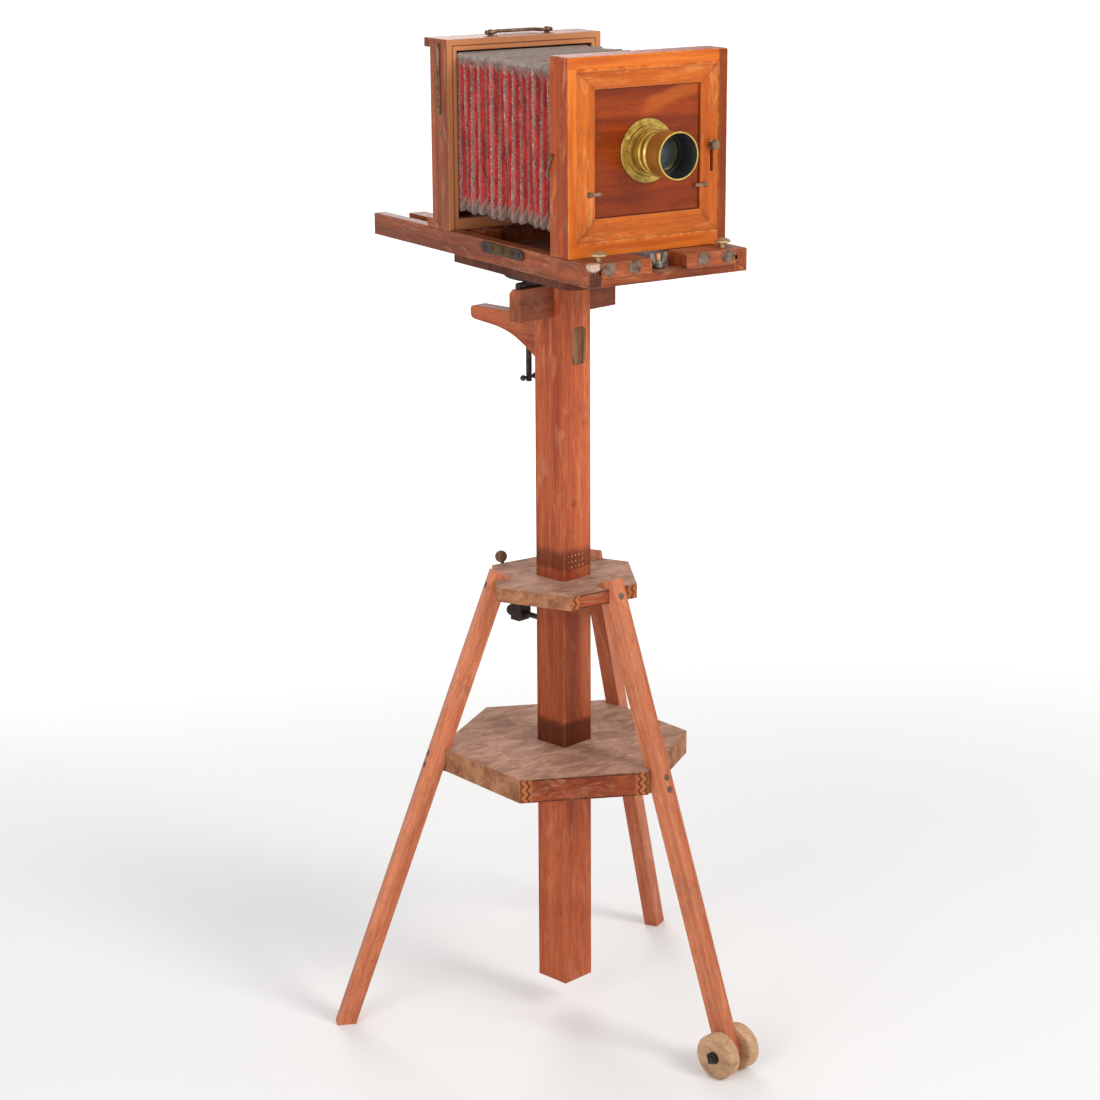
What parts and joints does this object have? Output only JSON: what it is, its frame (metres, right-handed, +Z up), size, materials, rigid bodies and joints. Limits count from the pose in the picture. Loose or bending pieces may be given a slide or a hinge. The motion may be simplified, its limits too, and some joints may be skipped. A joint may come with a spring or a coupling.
{
  "type": "studio plate camera on column stand",
  "caption": "Wooden bellows plate camera with a brass lens on a sliding, tilting and swivelling column stand with splayed legs and small wheels.",
  "frame": {"origin": "on the floor, under the middle of the whole object's bounding box at rest", "axes": "+Z up; the lens looks along -Y; +X is to the right when looking from the lens side towards +Y"},
  "size_m": [0.6336, 0.7388, 1.4538],
  "materials": {
    "mahogany_red": "worn oiled mahogany",
    "mahogany_gloss": "french polished mahogany",
    "panel_gloss": "polished figured mahogany",
    "mahogany_dark": "darkened waxed mahogany",
    "plate_wood": "dusty worn wood with end grain",
    "wheel_wood": "bare worn wood",
    "brass": "aged lacquered brass",
    "brass_dark": "tarnished brass",
    "iron": "blackened iron",
    "steel": "aged steel screws",
    "bellows_cloth": "worn red bellows leather",
    "lens_glass": "polished optical glass",
    "frosted_glass": "ground glass"
  },
  "bodies": {
    "stand": {"upper_plate": "plate_wood", "lower_plate": "plate_wood", "leg_left": "mahogany_red", "leg_back": "mahogany_red", "leg_wheel": "mahogany_red", "leg_screws": "steel", "wheel_axle": "iron", "axle_nuts": "iron", "clamp_bracket": "iron"},
    "left_wheel": {"wheel_left": "wheel_wood"},
    "right_wheel": {"wheel_right": "wheel_wood"},
    "clamp": {"clamp_lever": "iron", "clamp_ball": "wheel_wood"},
    "column": {"column": "mahogany_red", "column_inlay": "mahogany_dark", "crossbar": "mahogany_red", "tilt_arm": "mahogany_red", "arm_nut": "iron", "tilt_lugs": "iron", "hinge_pins": "iron"},
    "lift_screw": {"tilt_screw": "iron", "tilt_handle": "iron"},
    "table": {"tilt_table": "iron"},
    "camera": {"platform": "mahogany_dark", "swivel_bolt": "iron", "front_rail_left": "mahogany_dark", "front_rail_right": "mahogany_dark", "tail_rail_left": "mahogany_dark", "tail_rail_right": "mahogany_dark", "bed_board": "mahogany_dark", "tail_cross_rails": "mahogany_dark", "tailboard_hinges": "brass_dark", "front_blocks": "mahogany_dark", "bed_end_plates": "brass_dark", "channel_bolt": "brass_dark", "front_box": "mahogany_gloss", "front_frame": "mahogany_gloss", "lens_panel": "panel_gloss", "lens_flange": "brass", "flange_screws": "brass", "lens_barrel": "brass", "lens_hood": "brass", "front_glass": "lens_glass", "rear_glass": "lens_glass", "bellows": "bellows_cloth"},
    "left_thumb_screw": {"thumb_screw_left": "brass"},
    "right_thumb_screw": {"thumb_screw_right": "brass"},
    "wing": {"wing_nut": "brass_dark"},
    "left_button": {"turn_button_left": "brass_dark"},
    "right_button": {"turn_button_right": "brass_dark"},
    "rise_catch": {"rise_knob": "brass_dark"},
    "hook": {"side_hook": "brass_dark"},
    "rear": {"rear_frame": "mahogany_dark", "rear_ledges": "mahogany_dark", "carriage": "mahogany_dark", "handle_posts": "brass_dark"},
    "screen": {"screen_frame": "mahogany_dark", "ground_glass": "frosted_glass"},
    "handle": {"carry_handle": "brass_dark"},
    "stay": {"side_stay": "brass_dark"}
  },
  "joints": [
    {"name": "column_lift", "type": "slide", "parent": "stand", "child": "column", "axis": [0, 0, 1], "range_m": [-0.04, 0.28]},
    {"name": "left_wheel_spin", "type": "hinge", "parent": "stand", "child": "left_wheel", "pos_m": [0.08353, -0.33068, 0.033], "axis": [-0.9744, -0.225, 0], "continuous": true},
    {"name": "right_wheel_spin", "type": "hinge", "parent": "stand", "child": "right_wheel", "pos_m": [0.08353, -0.33068, 0.033], "axis": [-0.9744, -0.225, 0], "continuous": true},
    {"name": "clamp_turn", "type": "hinge", "parent": "stand", "child": "clamp", "pos_m": [-0.02015, 0.07539, 0.612], "axis": [-0.2215, 0.9751, 0], "range_deg": [-50, 50]},
    {"name": "head_tilt", "type": "hinge", "parent": "column", "child": "table", "pos_m": [0.01043, -0.01406, 1.1205], "axis": [0.9751, 0.2215, 0], "range_deg": [-4, 14]},
    {"name": "lift_screw_rise", "type": "slide", "parent": "column", "child": "lift_screw", "axis": [0, 0, 1], "range_m": [-0.00493, 0.01674]},
    {"name": "head_swivel", "type": "hinge", "parent": "table", "child": "camera", "pos_m": [0.01043, -0.01406, 1.131], "axis": [0, 0, 1], "range_deg": [-90, 90]},
    {"name": "rear_focus", "type": "slide", "parent": "camera", "child": "rear", "axis": [0, 1, 0], "range_m": [-0.16, 0.04], "deforming": ["bellows"]},
    {"name": "screen_swing", "type": "hinge", "parent": "rear", "child": "screen", "pos_m": [0.17543, 0.20644, 1.309], "axis": [0, 0, 1], "range_deg": [-110, 0]},
    {"name": "handle_swing", "type": "hinge", "parent": "rear", "child": "handle", "pos_m": [0.06143, 0.17594, 1.4496], "axis": [1, 0, 0], "range_deg": [0, 175]},
    {"name": "stay_swing", "type": "hinge", "parent": "rear", "child": "stay", "pos_m": [-0.07757, 0.16994, 1.435], "axis": [1, 0, 0], "range_deg": [-90, 90]},
    {"name": "left_button_turn", "type": "hinge", "parent": "camera", "child": "left_button", "pos_m": [-0.04257, -0.16326, 1.2585], "axis": [0, 1, 0], "range_deg": [-90, 90]},
    {"name": "right_button_turn", "type": "hinge", "parent": "camera", "child": "right_button", "pos_m": [0.14943, -0.16326, 1.2585], "axis": [0, 1, 0], "range_deg": [-90, 90]},
    {"name": "rise_catch_slide", "type": "slide", "parent": "camera", "child": "rise_catch", "axis": [0, 0, 1], "range_m": [-0.0345, 0]},
    {"name": "hook_swing", "type": "hinge", "parent": "camera", "child": "hook", "pos_m": [-0.07757, -0.12506, 1.3085], "axis": [1, 0, 0], "range_deg": [-50, 90]},
    {"name": "left_thumb_screw_turn", "type": "hinge", "parent": "camera", "child": "left_thumb_screw", "pos_m": [-0.04957, -0.19506, 1.174], "axis": [0, 0, 1], "continuous": true},
    {"name": "right_thumb_screw_turn", "type": "hinge", "parent": "camera", "child": "right_thumb_screw", "pos_m": [0.15643, -0.19506, 1.174], "axis": [0, 0, 1], "continuous": true},
    {"name": "wing_nut_turn", "type": "hinge", "parent": "camera", "child": "wing", "pos_m": [0.05343, -0.18756, 1.174], "axis": [0, 0, 1], "continuous": true}
  ],
  "couplings": [
    {"joint": "lift_screw_rise", "follows": "head_tilt", "m_per_rad": 0.0677}
  ]
}
